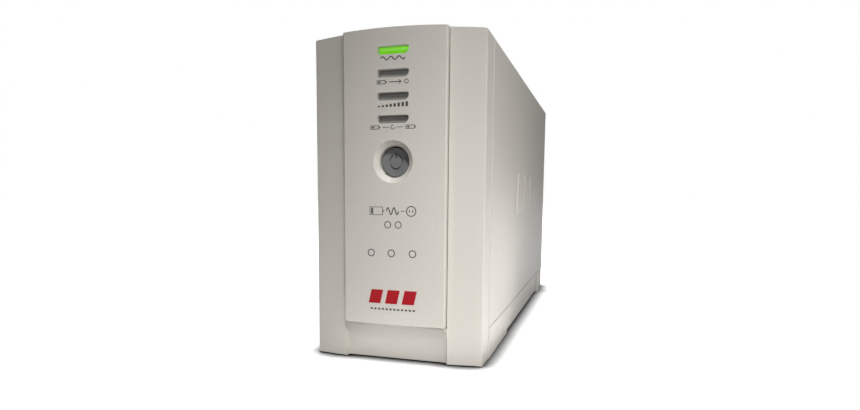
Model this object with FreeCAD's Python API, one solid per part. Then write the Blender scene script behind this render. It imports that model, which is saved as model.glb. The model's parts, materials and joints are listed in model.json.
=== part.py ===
import FreeCAD, Part
import math
import os

from FreeCAD import Vector

# Small tower uninterruptible power supply: 350 VA, one 12 V 7 Ah battery, four outlets.
# Frame: +X to the right seen from the front, +Y towards the rear, +Z up.
# Origin: centre of the bounding box in X and Y, on the surface it stands on.  Millimetres.

# ---- overall size ---------------------------------------------------------------------------
WIDTH = 91.0
DEPTH = 284.0
HEIGHT = 165.0
HALF_W = WIDTH / 2
FRONT = -DEPTH / 2
REAR = DEPTH / 2
CROWN_DROP = 1.9            # the top is this much lower at its sides than on the centre line
TOP_EDGE_R = 2.2
WALL = 2.5
FIT_GAP = 0.3

# ---- front face -----------------------------------------------------------------------------
PANEL_BOW = 1.2             # the centre panel bulges this much across its width
PANEL_HALF = 26.85
PANEL_EDGE_Y = FRONT + PANEL_BOW
PANEL_LOW_Z = 19.2
PANEL_WALL = 2.2
SEAM_Y = FRONT + 21.5       # back edge of the bezel, where the housing starts
COLUMN_OUTER_Y = SEAM_Y - 14.5
COLUMN_INNER_Y = SEAM_Y - 16.8
COLUMN_INNER_X = 27.2
COLUMN_EDGE_R = 0.7
BEZEL_LIFT = 0.4            # the bezel clears the surface, so the unit stands on the battery cover's feet
COLUMN_OUTER_X = 44.85
SEAM_STEP = 0.35            # the bezel's sides sit this much inside the housing's
CHANNEL_Y = SEAM_Y - 12.5   # floor of the channel that the centre panel sits in
SLOT_W = 16.2
SLOT_H = 3.9
SLOT_PITCH = 10.9
SLOT_TOP_Z = 154.3          # centre of the uppermost status slot
BUTTON_Z = 101.2
BUTTON_R = 7.5
BUTTON_HOLE_R = 7.8
DISH_R = 10.45
DISH_DEPTH = 2.3
BUTTON_RECESS = 4.3
BUTTON_HOLLOW_R = 45.0      # the button's face is hollowed by a sphere of this radius
BUTTON_HOLLOW = 0.5
MARK_DEPTH = 0.45           # depth of the engraved power mark
BUTTON_TRAVEL = 1.2
FRONT_BOARD_Y = SEAM_Y - 6.0

# ---- housing, battery cover, rear -----------------------------------------------------------
SPLIT_Z = 17.0              # lower edge of the housing, just above the battery cover
COVER_TOP_Z = SPLIT_Z - 0.45
DECK_TOP_Z = SPLIT_Z + WALL
FOOT_STEP = 2.4             # the underside is this much higher between its two feet
FRONT_FOOT_END_Y = SEAM_Y + 59.0
REAR_FOOT_START_Y = SEAM_Y + 220.0
COVER_TRAVEL = 14.0
LEDGE_OUT = 2.3             # how far the thumb ledges stand out from the sides
RIM_HALF = 39.0
RIM_LOW_Z = 24.0
RIM_HIGH_Z = 156.0
RIM_T = 1.8
PANEL_REAR_Y = REAR - 8.0
REAR_PANEL_T = 2.5

# ---- inside ---------------------------------------------------------------------------------
BATTERY_L = 151.0
BATTERY_W = 65.0
BATTERY_H = 94.0
BATTERY_LID_H = 5.0
BATTERY_LOW_Z = 17.6
BATTERY_START_Y = -110.5
CORE_W = 76.2
CORE_H = 63.5
CORE_STACK = 45.0
CORE_Y = 77.5
CORE_LOW_Z = DECK_TOP_Z + 2.2
COIL_OUT = 11.5
SHELF_Z = 124.0
BOARD_Z = 130.0
BOARD_T = 1.6
BOARD_HALF = 38.0
BOARD_Y = (-108.0, 35.0)
BOARD_TOP = BOARD_Z + BOARD_T

# ---- rear sockets ---------------------------------------------------------------------------
SOCKET_X = 17.5
OUTLET_ROWS = (141.5, 114.5)
INLET_Z = 86.0
BREAKER_Z = 86.0
JACK_Z = 60.0
FLANGE_T = 1.5

X_AXIS = Vector(1, 0, 0)
Y_AXIS = Vector(0, 1, 0)
Z_AXIS = Vector(0, 0, 1)


# ---- shape helpers --------------------------------------------------------------------------
def box(x, y, z):
    """A box from three (low, high) pairs."""
    return Part.makeBox(x[1] - x[0], y[1] - y[0], z[1] - z[0], Vector(x[0], y[0], z[0]))


def around(centre, size):
    """A (low, high) pair of this size around a centre."""
    return (centre - size / 2, centre + size / 2)


def rod(radius, start, end):
    """A cylinder from one point to another."""
    low = Vector(*start)
    along = Vector(*end) - low
    return Part.makeCylinder(radius, along.Length, low, along)


def cone(radius_a, radius_b, start, end):
    """A cone from one point to another."""
    low = Vector(*start)
    along = Vector(*end) - low
    return Part.makeCone(radius_a, radius_b, along.Length, low, along)


def prism(points, along):
    """The closed polygon through the points, swept by a vector."""
    corners = [Vector(*p) for p in points]
    corners.append(corners[0])
    return Part.Face(Part.makePolygon(corners)).extrude(along)


def edges_along(shape, axis, keep=None):
    """The straight edges parallel to an axis whose centre passes keep."""
    found = []
    for edge in shape.Edges:
        if edge.Curve.TypeId != "Part::GeomLine":
            continue
        run = edge.Vertexes[-1].Point - edge.Vertexes[0].Point
        parallel = run.Length > 0 and abs(abs(run.normalize().dot(axis)) - 1) < 1e-6
        if parallel and (keep is None or keep(edge.CenterOfMass)):
            found.append(edge)
    return found


def rounded(shape, axis, radius, keep=None):
    """The shape with its edges along an axis rounded."""
    return shape.makeFillet(radius, edges_along(shape, axis, keep))


def joined(shapes):
    """One solid from touching solids."""
    first, *rest = shapes
    return first.fuse(rest).removeSplitter()


def group(solids):
    """Separate solids kept together in one part."""
    return Part.makeCompound(solids)


def mirrored(shape):
    """The shape's mirror image across the centre plane."""
    return shape.mirror(Vector(0, 0, 0), X_AXIS)


def bent_path(points, radius):
    """A wire of straight runs joined by tangent arcs of one radius."""
    corners = [Vector(*p) for p in points]
    edges = []
    here = corners[0]
    for before, corner, after in zip(corners, corners[1:], corners[2:]):
        arriving = (corner - before).normalize()
        leaving = (after - corner).normalize()
        half_turn = arriving.getAngle(leaving) / 2
        setback = radius * math.tan(half_turn)
        start = corner - arriving * setback
        end = corner + leaving * setback
        inward = (leaving - arriving).normalize()
        centre = corner + inward * (radius / math.cos(half_turn))
        middle = centre - inward * radius
        edges.append(Part.LineSegment(here, start).toShape())
        edges.append(Part.Arc(start, middle, end).toShape())
        here = end
    edges.append(Part.LineSegment(here, corners[-1]).toShape())
    return Part.Wire(edges)


def wire_run(points, bend_r, wire_r):
    """A round wire that follows bent_path."""
    path = bent_path(points, bend_r)
    start = Vector(*points[0])
    along = Vector(*points[1]) - start
    section = Part.Wire(Part.makeCircle(wire_r, start, along))
    return path.makePipeShell([section], True, False)


# ---- the outer form -------------------------------------------------------------------------
CROWN_R = (HALF_W ** 2 + CROWN_DROP ** 2) / (2 * CROWN_DROP)


def crown_z(x, inset=0.0):
    """Height of the top surface, moved in by inset, at a distance x from the centre plane."""
    return HEIGHT - CROWN_R + math.sqrt((CROWN_R - inset) ** 2 - x * x)


def crown_block(y, low_z, inset=0.0):
    """The body's outer section, moved in by inset, from low_z up and between two y values."""
    half = HALF_W - inset
    side_z = crown_z(half, inset)
    corners = [Vector(half, y[0], side_z), Vector(-half, y[0], side_z)]
    corners += [Vector(-half, y[0], low_z), Vector(half, y[0], low_z)]
    top = Part.Arc(corners[0], Vector(0, y[0], crown_z(0, inset)), corners[1]).toShape()
    sides = [Part.LineSegment(a, b).toShape() for a, b in zip(corners[1:], corners[2:] + corners[:1])]
    block = Part.Face(Part.Wire([top] + sides)).extrude(Y_AXIS * (y[1] - y[0]))
    return rounded(block, Y_AXIS, TOP_EDGE_R, lambda c: c.z > side_z - 1)


def right_half():
    """All the space on the right of the centre plane."""
    return box((0, WIDTH), (2 * FRONT, 2 * REAR), (-HEIGHT, 2 * HEIGHT))


# ---- housing --------------------------------------------------------------------------------
SCREW_PLACES = [(-115.7, 30.0), (-100.0, 157.0), (60.0, 157.0), (122.0, 156.6), (122.0, 31.0)]
BOSS_R = 4.6
SCREW_HEAD_R = 2.9
HEAD_POCKET_R = 3.3
HEAD_X = -12.0              # the screw heads sit this far in from the left
SCREW_TIP_X = 9.0
HOOK_YS = (-95.0, -10.0, 108.0)
HOOK_X = 40.1
HOOK_W = 3.4
HOOK_POST = 3.0
HOOK_FOOT = 13.0
MOTIF_YS = (SEAM_Y + 86.0, SEAM_Y + 118.0, SEAM_Y + 150.0)
MOTIF_Z = (72.5, 99.5)
MOTIF_W = 23.0
MOTIF_SLANT = 6.0           # the blocks' upper ends lean back by this much
MOTIF_OUT = 0.7


def housing_shell():
    """Both halves of the housing in one piece, before they are parted on the centre plane."""
    shell = crown_block((SEAM_Y + 0.15, REAR), SPLIT_Z)
    shell = shell.cut(crown_block((SEAM_Y - 1, PANEL_REAR_Y + 0.1), DECK_TOP_Z, WALL))
    rim = box((-RIM_HALF, RIM_HALF), (PANEL_REAR_Y - 1, REAR + 1), (RIM_LOW_Z, RIM_HIGH_Z))
    rim_wall = box((-RIM_HALF - RIM_T, RIM_HALF + RIM_T), (PANEL_REAR_Y - 1, REAR + 1),
                   (RIM_LOW_Z - RIM_T, RIM_HIGH_Z + RIM_T))
    behind_rim = crown_block((PANEL_REAR_Y, REAR - WALL), DECK_TOP_Z, WALL)
    shell = shell.cut(rounded(rim, Y_AXIS, 3.0)).cut(behind_rim.cut(rounded(rim_wall, Y_AXIS, 3.0 + RIM_T)))
    battery_way = box((-34.2, 34.2), (BATTERY_START_Y - 1.7, BATTERY_START_Y + BATTERY_L + 1.5),
                      (SPLIT_Z - 1, DECK_TOP_Z + 1))
    shell = shell.cut(battery_way)
    slots = []
    for hook_y in HOOK_YS:
        for side in (-1, 1):
            span = (hook_y - 0.6, hook_y + HOOK_POST + COVER_TRAVEL + 0.6)
            slots.append(box(around(side * HOOK_X, HOOK_W + 1.0), span, (SPLIT_Z - 1, DECK_TOP_Z + 1)))
    shell = shell.cut(slots)
    keeper_y = (PANEL_REAR_Y - REAR_PANEL_T - 2.7, PANEL_REAR_Y - REAR_PANEL_T - 0.2)
    keeper = crown_block(keeper_y, DECK_TOP_Z, WALL - 0.1)
    keeper_hole = box((-40.4, 40.4), (keeper_y[0] - 1, keeper_y[1] + 1), (DECK_TOP_Z + 2, 160.0))
    ledges = [box(around(side * 41.75, 2.7), (-108.0, 36.0), (SHELF_Z - 2.6, SHELF_Z - 0.1)) for side in (-1, 1)]
    bosses = [rod(BOSS_R, (-43.1, y, z), (43.1, y, z)) for y, z in SCREW_PLACES]
    shell = shell.fuse([keeper.cut(keeper_hole)] + ledges + bosses).removeSplitter()
    shell = shell.common(crown_block((SEAM_Y + 0.15, REAR), SPLIT_Z))
    frame_holes = [rod(1.95, (x, y, SPLIT_Z - 1), (x, y, DECK_TOP_Z + 1)) for x, y in TRANSFORMER_FEET]
    return shell.cut(frame_holes + [parting_groove()])


def parting_groove():
    """A fine groove along the top and rear where the two halves meet."""
    depth = 0.35
    over = 1.0
    half = depth + over
    top = prism([(-half, SEAM_Y, HEIGHT + over), (half, SEAM_Y, HEIGHT + over), (0, SEAM_Y, HEIGHT - depth)],
                Y_AXIS * (REAR - SEAM_Y + over))
    back = prism([(-half, REAR + over, SPLIT_Z - over), (half, REAR + over, SPLIT_Z - over),
                  (0, REAR - depth, SPLIT_Z - over)], Z_AXIS * (HEIGHT - SPLIT_Z + 2 * over))
    return top.fuse(back)


def housing_right(shell):
    """Right half: pilot holes for the screws, and three raised slanting blocks on its side."""
    half = shell.common(right_half())
    half = half.cut([rod(1.32, (-1, y, z), (SCREW_TIP_X + 3, y, z)) for y, z in SCREW_PLACES])
    blocks = []
    for y in MOTIF_YS:
        low, high = MOTIF_Z
        corners = [(y, low), (y + MOTIF_W, low), (y + MOTIF_W + MOTIF_SLANT, high), (y + MOTIF_SLANT, high)]
        block = prism([(HALF_W - 1, *corner) for corner in corners], X_AXIS * (MOTIF_OUT + 1))
        blocks.append(block)
    return half.fuse(blocks).removeSplitter()


def housing_left(shell):
    """Left half: deep pockets that take the screws."""
    half = shell.common(mirrored(right_half()))
    cuts = []
    for y, z in SCREW_PLACES:
        cuts.append(rod(1.6, (-WIDTH, y, z), (1, y, z)))
        cuts.append(rod(HEAD_POCKET_R, (-WIDTH, y, z), (HEAD_X, y, z)))
    return half.cut(cuts)


def pan_screw(place, along, head_r, head_h, shank_r, length):
    """A pan-head screw with a cross recess; place is under its head."""
    axis = Vector(*along)
    base = Vector(*place)
    head = Part.makeCylinder(head_r, head_h, base - axis * head_h, axis)
    head = head.makeChamfer(head_h * 0.3, [e for e in head.Edges if (e.CenterOfMass - base).dot(axis) < -head_h * 0.9
                                           and e.Curve.TypeId == "Part::GeomCircle"])
    shank = Part.makeCylinder(shank_r, length, base - axis * 0.1, axis)
    arm = head_r * 0.55
    deep = head_h * 0.55
    side = Z_AXIS if abs(axis.z) < 0.5 else X_AXIS
    other = axis.cross(side)
    recess = []
    for long_way, short_way in ((side, other), (other, side)):
        corner = base - axis * (head_h + 0.1) - long_way * arm - short_way * (arm * 0.25)
        ends = [corner, corner + long_way * (2 * arm), corner + long_way * (2 * arm) + short_way * (arm * 0.5),
                corner + short_way * (arm * 0.5)]
        recess.append(prism([tuple(p) for p in ends], axis * deep))
    return joined([head, shank]).cut(recess)


def housing_screws():
    return group([pan_screw((HEAD_X - 0.02, y, z), (1, 0, 0), SCREW_HEAD_R, 2.0, 1.3, SCREW_TIP_X - HEAD_X)
                  for y, z in SCREW_PLACES])


# ---- front ----------------------------------------------------------------------------------
def bowed_prism(half, edge_y, bow, back_y, z):
    """A slab across the front whose face is an arc in plan."""
    left = Vector(-half, edge_y, z[0])
    right = Vector(half, edge_y, z[0])
    front = Part.Arc(left, Vector(0, edge_y - bow, z[0]), right).toShape()
    back = [Vector(half, back_y, z[0]), Vector(-half, back_y, z[0])]
    lines = [Part.LineSegment(a, b).toShape() for a, b in ((right, back[0]), (back[0], back[1]), (back[1], left))]
    return Part.Face(Part.Wire([front] + lines)).extrude(Z_AXIS * (z[1] - z[0]))


def column_outline(inset, back_y):
    """Half the bezel in plan, moved in by inset: a column's front, its outer corner and its side."""
    return [(0, COLUMN_INNER_Y + inset, 0), (COLUMN_INNER_X, COLUMN_INNER_Y + inset, 0),
            (COLUMN_OUTER_X - inset, COLUMN_OUTER_Y + inset, 0), (HALF_W - SEAM_STEP - inset, SEAM_Y - 0.15, 0),
            (HALF_W - SEAM_STEP - inset, back_y, 0), (0, back_y, 0)]


def scoop_cutter():
    """The hollow under the centre panel: one shallow arc from behind the panel's lip down to the base."""
    low, lip = -1.0, PANEL_LOW_Z - 0.3
    front_y = FRONT - 5
    top = Vector(0, SEAM_Y - 19.6, lip)
    middle = Vector(0, SEAM_Y - 15.2, lip - 9.0)
    foot = Vector(0, SEAM_Y - 14.0, low)
    corners = [foot, Vector(0, front_y, low), Vector(0, front_y, lip), top]
    edges = [Part.Arc(top, middle, foot).toShape()]
    edges += [Part.LineSegment(a, b).toShape() for a, b in zip(corners, corners[1:])]
    cutter = Part.Face(Part.Wire(edges)).extrude(X_AXIS * (2 * COLUMN_INNER_X))
    return cutter.translated(Vector(-COLUMN_INNER_X, 0, 0))


def front_bezel():
    """Two columns, the wall behind the centre panel and the scoop under it, hollow from behind."""
    half = prism(column_outline(0, SEAM_Y - 0.15), Z_AXIS * (HEIGHT + 5))
    half = rounded(half, Z_AXIS, COLUMN_EDGE_R, lambda c: c.x > 40 and c.y < SEAM_Y - 10)
    outer = half.fuse(mirrored(half)).removeSplitter()
    outer = outer.common(crown_block((FRONT - 5, SEAM_Y), BEZEL_LIFT))
    hollow = prism(column_outline(WALL, SEAM_Y + 1), Z_AXIS * (HEIGHT + 5))
    hollow = hollow.fuse(mirrored(hollow)).common(crown_block((FRONT - 5, SEAM_Y + 2), WALL, WALL))
    wall_keep = box((-COLUMN_INNER_X - WALL, COLUMN_INNER_X + WALL), (FRONT, CHANNEL_Y + WALL), (0, HEIGHT + 5))
    channel = box((-COLUMN_INNER_X, COLUMN_INNER_X), (FRONT - 5, CHANNEL_Y), (PANEL_LOW_Z - 0.3, HEIGHT + 5))
    sill = bowed_prism(COLUMN_INNER_X, PANEL_EDGE_Y + 1.6, PANEL_BOW, CHANNEL_Y + WALL,
                       (BEZEL_LIFT, PANEL_LOW_Z - 0.3))
    scoop = scoop_cutter()
    body = outer.cut(hollow.cut(wall_keep)).cut(channel).fuse(sill.cut(scoop))
    body = body.cut(scoop)
    window = box((-21, 21), (CHANNEL_Y - 1, CHANNEL_Y + WALL + 1), (88, 160.5))
    body = body.cut(rounded(window, Y_AXIS, 2.0))
    tongues = [box((-8, 8), (SEAM_Y - 6, SEAM_Y + 5), (crown_z(8, WALL) - 2.1, crown_z(8, WALL) - 0.25))]
    ties = []
    for z in (45.0, 120.0):
        for side in (-1, 1):
            tongues.append(box(around(side * 41.9, 1.8), (SEAM_Y - 10, SEAM_Y + 5), around(z, 14)))
            ties.append(box(around(side * 42.0, 2.2), (SEAM_Y - 10, SEAM_Y - 2), around(z, 14)))
    ties.append(box((-8, 8), (SEAM_Y - 6, SEAM_Y - 2), (crown_z(8, WALL) - 2.1, crown_z(8, WALL) + 1)))
    return body.fuse(tongues + ties).removeSplitter()


def slot_prism(z, y, grow=0.0):
    """A status slot: three small corners and one broad one at the lower right."""
    half_w = SLOT_W / 2 + grow
    half_h = SLOT_H / 2 + grow
    block = box((-half_w, half_w), y, (z - half_h, z + half_h))
    block = rounded(block, Y_AXIS, 1.0 + grow, lambda c: c.x < 0 or c.z > z)
    return rounded(block, Y_AXIS, 2.6 + grow, lambda c: c.x > 0 and c.z < z)


SLOT_ZS = [SLOT_TOP_Z - SLOT_PITCH * i for i in range(4)]
POST_PLACES = [(x, z) for x in (-16.0, 16.0) for z in (93.0, 156.0)]
PANEL_BACK_Y = CHANNEL_Y - 0.3
PANEL_INNER_Y = FRONT + PANEL_WALL


def front_panel():
    """The bowed centre panel, a shallow tray with its slots, the dished button hole and board posts."""
    block = bowed_prism(PANEL_HALF, PANEL_EDGE_Y, PANEL_BOW, PANEL_BACK_Y, (PANEL_LOW_Z, HEIGHT + 5))
    block = rounded(block, Z_AXIS, 0.8, lambda c: c.y < PANEL_EDGE_Y + 1)
    low_front = [e for e in block.Edges if e.CenterOfMass.z < PANEL_LOW_Z + 0.01
                 and e.CenterOfMass.y < PANEL_EDGE_Y + 0.7]
    block = block.makeFillet(0.75, low_front)
    block = block.common(crown_block((FRONT - 5, SEAM_Y), 0.0))
    hollow = box((-PANEL_HALF + PANEL_WALL, PANEL_HALF - PANEL_WALL), (PANEL_INNER_Y + PANEL_BOW, PANEL_BACK_Y + 1),
                 (PANEL_LOW_Z + PANEL_WALL, HEIGHT - 2 * PANEL_WALL))
    block = block.cut(hollow)
    collar = rod(BUTTON_HOLE_R + 1.8, (0, PANEL_INNER_Y, BUTTON_Z), (0, SEAM_Y - 14.5, BUTTON_Z))
    posts = [rod(2.3, (x, PANEL_INNER_Y, z), (x, FRONT_BOARD_Y - 0.02, z)) for x, z in POST_PLACES]
    block = block.fuse([collar] + posts).removeSplitter()
    dish = cone(DISH_R + 0.5, BUTTON_HOLE_R, (0, FRONT - 0.5 * DISH_DEPTH / (DISH_R - BUTTON_HOLE_R), BUTTON_Z),
                (0, FRONT + DISH_DEPTH, BUTTON_Z))
    hole = rod(BUTTON_HOLE_R, (0, FRONT - 1, BUTTON_Z), (0, SEAM_Y, BUTTON_Z))
    slots = [slot_prism(z, (FRONT - 1, PANEL_INNER_Y + PANEL_BOW + 1)) for z in SLOT_ZS]
    pilots = [rod(0.9, (x, FRONT_BOARD_Y - 8, z), (x, FRONT_BOARD_Y + 1, z)) for x, z in POST_PLACES]
    return block.cut([dish, hole] + slots + pilots)


LENS_FACE_Y = FRONT + 2.2
LENS_BACK_Y = FRONT_BOARD_Y - 5.9
LENS_HOLLOW_R = 2.4         # the lens face is a trough of this radius
LENS_HOLLOW = 0.9


def lens(z):
    """A light guide: a hollowed face fills the slot, a flange sits behind the panel, a stem runs to the LED."""
    face = slot_prism(z, (LENS_FACE_Y, PANEL_INNER_Y + PANEL_BOW + 0.1), -0.12)
    trough_y = LENS_FACE_Y + LENS_HOLLOW - LENS_HOLLOW_R
    face = face.cut(rod(LENS_HOLLOW_R, (-SLOT_W, trough_y, z), (SLOT_W, trough_y, z)))
    flange_y = (PANEL_INNER_Y + PANEL_BOW + 0.05, PANEL_INNER_Y + PANEL_BOW + 1.2)
    flange = rounded(box((-9.4, 9.4), flange_y, around(z, 6.6)), Y_AXIS, 1.5)
    stem = rounded(box((-3.0, 3.0), (flange_y[1] - 0.1, LENS_BACK_Y), around(z, 3.6)), Y_AXIS, 1.2)
    return joined([face, flange, stem])


def power_button():
    """Round cap with a hollowed face and an engraved power mark, a retaining flange and a stem."""
    face_y = FRONT + BUTTON_RECESS
    cap = rod(BUTTON_R, (0, face_y, BUTTON_Z), (0, SEAM_Y - 13.9, BUTTON_Z))
    cap = cap.makeFillet(0.6, [e for e in cap.Edges if e.Curve.TypeId == "Part::GeomCircle"
                               and e.CenterOfMass.y < face_y + 0.1])
    flange = rod(BUTTON_HOLE_R + 1.4, (0, SEAM_Y - 14.2, BUTTON_Z), (0, SEAM_Y - 13.2, BUTTON_Z))
    stem = rod(2.2, (0, SEAM_Y - 13.3, BUTTON_Z), (0, SEAM_Y - 12.4, BUTTON_Z))
    hollow = Part.makeSphere(BUTTON_HOLLOW_R, Vector(0, face_y + BUTTON_HOLLOW - BUTTON_HOLLOW_R, BUTTON_Z))
    mark_y = face_y + BUTTON_HOLLOW + MARK_DEPTH
    ring = rod(3.8, (0, face_y - 1, BUTTON_Z), (0, mark_y, BUTTON_Z))
    ring = ring.cut(rod(3.0, (0, face_y - 2, BUTTON_Z), (0, mark_y + 1, BUTTON_Z)))
    ring = ring.cut(box((-1.5, 1.5), (face_y - 2, mark_y + 1), (BUTTON_Z, BUTTON_Z + 6)))
    bar = box((-0.4, 0.4), (face_y - 1, mark_y), (BUTTON_Z + 1.6, BUTTON_Z + 4.6))
    return joined([cap, flange, stem]).cut([hollow, ring, bar])


SWITCH_Y = (FRONT_BOARD_Y - 4.2, FRONT_BOARD_Y - 0.02)


def power_switch():
    """Push switch on the front board, with a bore for its plunger."""
    body = rounded(box(around(0, 12), SWITCH_Y, around(BUTTON_Z, 12)), Y_AXIS, 0.8)
    bore = rod(2.05, (0, SWITCH_Y[0] - 1, BUTTON_Z), (0, SWITCH_Y[0] + 3.4, BUTTON_Z))
    return body.cut(bore)


def switch_plunger():
    return rod(1.75, (0, SEAM_Y - 12.4, BUTTON_Z), (0, SWITCH_Y[0] + 1.6, BUTTON_Z))


def front_board():
    """Small board behind the panel, held on four posts."""
    y = (FRONT_BOARD_Y, FRONT_BOARD_Y + BOARD_T)
    board = rounded(box((-20.0, 20.0), y, (89.0, 160.0)), Y_AXIS, 1.5)
    return board.cut([rod(1.15, (x, y[0] - 1, z), (x, y[1] + 1, z)) for x, z in POST_PLACES])


def indicator_leds():
    """Four LEDs, domed towards the light guides."""
    leds = []
    for z in SLOT_ZS:
        base = rod(1.9, (0, FRONT_BOARD_Y - 1.0, z), (0, FRONT_BOARD_Y - 0.02, z))
        barrel = rod(1.5, (0, FRONT_BOARD_Y - 3.9, z), (0, FRONT_BOARD_Y - 0.9, z))
        dome = Part.makeSphere(1.5, Vector(0, FRONT_BOARD_Y - 3.9, z))
        leds.append(joined([base, barrel, dome]))
    return group(leds)


def ribbon_cable():
    """Flat cable from the front board back to the main board, with a plug at each end."""
    t = 1.0
    high = 138.0
    front = FRONT_BOARD_Y + BOARD_T
    plug_front = box(around(0, 14), (front + 0.02, front + 5), around(high, 6))
    end_y = BOARD_Y[0] + 8
    plug_back = box(around(0, 14), around(end_y, 5), (BOARD_TOP + 5.4, BOARD_TOP + 9.4))
    drop = BOARD_TOP + 9.3
    strip = prism([(-5.5, front + 4.9, high - t / 2), (-5.5, front + 9, high - t / 2),
                   (-5.5, front + 12, drop + 3 - t), (-5.5, end_y - t / 2, drop + 3 - t), (-5.5, end_y - t / 2, drop),
                   (-5.5, end_y + t / 2, drop), (-5.5, end_y + t / 2, drop + 3),
                   (-5.5, front + 11.6, drop + 3), (-5.5, front + 8.6, high + t / 2),
                   (-5.5, front + 4.9, high + t / 2)], X_AXIS * 11)
    return joined([plug_front, strip, plug_back])


# ---- battery cover --------------------------------------------------------------------------
def thumb_ledge():
    """A small outward ledge low on the right side: its step faces forward, and it fades out to the rear."""
    start = REAR_FOOT_START_Y
    outer = HALF_W + LEDGE_OUT
    inner = HALF_W - 1.0
    step_low = Vector(outer, start, 0)
    points = {"a": Vector(inner, start, 0), "b": step_low, "c": Vector(inner, start + 8.5, 14.0),
              "d": Vector(inner, start + 38.0, 0), "e": Vector(HALF_W, start + 8.5, 14.0),
              "f": Vector(HALF_W, start + 38.0, 0)}
    faces = ["abec", "abfd", "bef", "acd", "cefd"]
    shells = []
    for names in faces:
        loop = [points[n] for n in names]
        shells.append(Part.Face(Part.makePolygon(loop + loop[:1])))
    return Part.makeSolid(Part.makeShell(shells))


def battery_cover():
    """Tray that closes the underside: two foot steps, thumb ledges, battery ribs and six hooks."""
    y = (SEAM_Y + 0.3, REAR)
    tray = box((-HALF_W, HALF_W), y, (0, COVER_TOP_Z))
    tray = rounded(tray, Y_AXIS, 0.5, lambda c: c.z < 1)
    tray = rounded(tray, X_AXIS, 3.2, lambda c: c.z < 1 and c.y > 0)
    tray = tray.cut(box((-HALF_W + WALL, HALF_W - WALL), (y[0] + WALL, y[1] - WALL),
                        (FOOT_STEP + WALL, COVER_TOP_Z + 1)))
    arch = box((-WIDTH, WIDTH), (FRONT_FOOT_END_Y, REAR_FOOT_START_Y), (-1, FOOT_STEP))
    tray = tray.cut(arch)
    ribs = [box(around(x, 2.0), (BATTERY_START_Y + 4, BATTERY_START_Y + BATTERY_L - COVER_TRAVEL - 3),
                (FOOT_STEP + 1, BATTERY_LOW_Z - 0.1)) for x in (-22.0, 0.0, 22.0)]
    ties = [box((-HALF_W + 1, HALF_W - 1), around(cross_y, 1.8), (FOOT_STEP + 1, 12.0))
            for cross_y in (-60.0, 30.0, 80.0)]
    hooks = []
    for hook_y in HOOK_YS:
        for side in (-1, 1):
            x = around(side * HOOK_X, HOOK_W)
            hooks.append(box(x, (hook_y, hook_y + HOOK_POST), (FOOT_STEP + 1, DECK_TOP_Z + 2.0)))
            hooks.append(box(x, (hook_y - HOOK_FOOT, hook_y + 1), (DECK_TOP_Z + 0.35, DECK_TOP_Z + 2.0)))
    ledge = thumb_ledge()
    return tray.fuse(ribs + ties + hooks + [ledge, mirrored(ledge)]).removeSplitter()


# ---- battery --------------------------------------------------------------------------------
BATTERY_Y = (BATTERY_START_Y, BATTERY_START_Y + BATTERY_L)
BATTERY_TOP_Z = BATTERY_LOW_Z + BATTERY_H
CELL_PITCH = (BATTERY_L - 3.0) / 6
CELL_L = CELL_PITCH - 2.0
CELL_W = BATTERY_W - 5.0
CELL_YS = [BATTERY_START_Y + 1.5 + CELL_PITCH * (i + 0.5) for i in range(6)]
PLATE_T = 1.4
TERMINAL_Y = BATTERY_START_Y + 9.0
TERMINAL_X = 22.0


def battery_case():
    """Case with six cells side by side, open at the top under the lid."""
    x = around(0, BATTERY_W)
    case = box(x, BATTERY_Y, (BATTERY_LOW_Z, BATTERY_TOP_Z - BATTERY_LID_H))
    case = rounded(case, Z_AXIS, 1.5)
    cells = [box(around(0, CELL_W), around(y, CELL_L), (BATTERY_LOW_Z + 2.5, BATTERY_TOP_Z)) for y in CELL_YS]
    return case.cut(cells)


def battery_plates():
    """One stack of lead plates per cell, joined by a strap along the top."""
    stacks = []
    plate_x = around(0, CELL_W - 2.0)
    low = BATTERY_LOW_Z + 4.5
    high = BATTERY_TOP_Z - BATTERY_LID_H - 10.0
    pitch = 2.9
    for y in CELL_YS:
        plates = [box(plate_x, around(y + (i - 3) * pitch, PLATE_T), (low, high)) for i in range(7)]
        strap = box(around(0, 8.0), around(y, 6 * pitch + PLATE_T), (high - 0.5, high + 4.0))
        stacks.append(joined(plates + [strap]))
    return group(stacks)


def battery_lid():
    """Lid with a raised vent strip and two pockets for the terminals."""
    x = around(0, BATTERY_W)
    lid = rounded(box(x, BATTERY_Y, (BATTERY_TOP_Z - BATTERY_LID_H, BATTERY_TOP_Z - 1)), Z_AXIS, 1.5)
    strip = box((-14, 14), (BATTERY_Y[0] + 22, BATTERY_Y[1] - 6), (BATTERY_TOP_Z - 2, BATTERY_TOP_Z))
    lid = joined([lid, rounded(strip, Z_AXIS, 2.0)])
    pockets = [box(around(side * TERMINAL_X, 11), around(TERMINAL_Y, 11), (BATTERY_TOP_Z - 3, BATTERY_TOP_Z + 1))
               for side in (-1, 1)]
    return lid.cut(pockets)


def battery_terminals():
    """Two 6.3 mm tabs on small bases."""
    tabs = []
    for side in (-1, 1):
        base = box(around(side * TERMINAL_X, 8), around(TERMINAL_Y, 6), (BATTERY_TOP_Z - 3, BATTERY_TOP_Z - 1.8))
        tab = box(around(side * TERMINAL_X, 6.3), around(TERMINAL_Y, 0.8), (BATTERY_TOP_Z - 2, BATTERY_TOP_Z + 6))
        tabs.append(joined([base, tab]))
    return group(tabs)


def lead_connectors():
    """Push-on connectors, one on each terminal."""
    made = []
    for side in (-1, 1):
        x = side * TERMINAL_X
        sleeve = box(around(x, 7.6), around(TERMINAL_Y, 3.4), (BATTERY_TOP_Z - 1, BATTERY_TOP_Z + 7))
        slit = box(around(x, 6.5), around(TERMINAL_Y, 1.0), (BATTERY_TOP_Z - 2, BATTERY_TOP_Z + 6.1))
        made.append(sleeve.cut(slit))
    return group(made)


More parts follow.
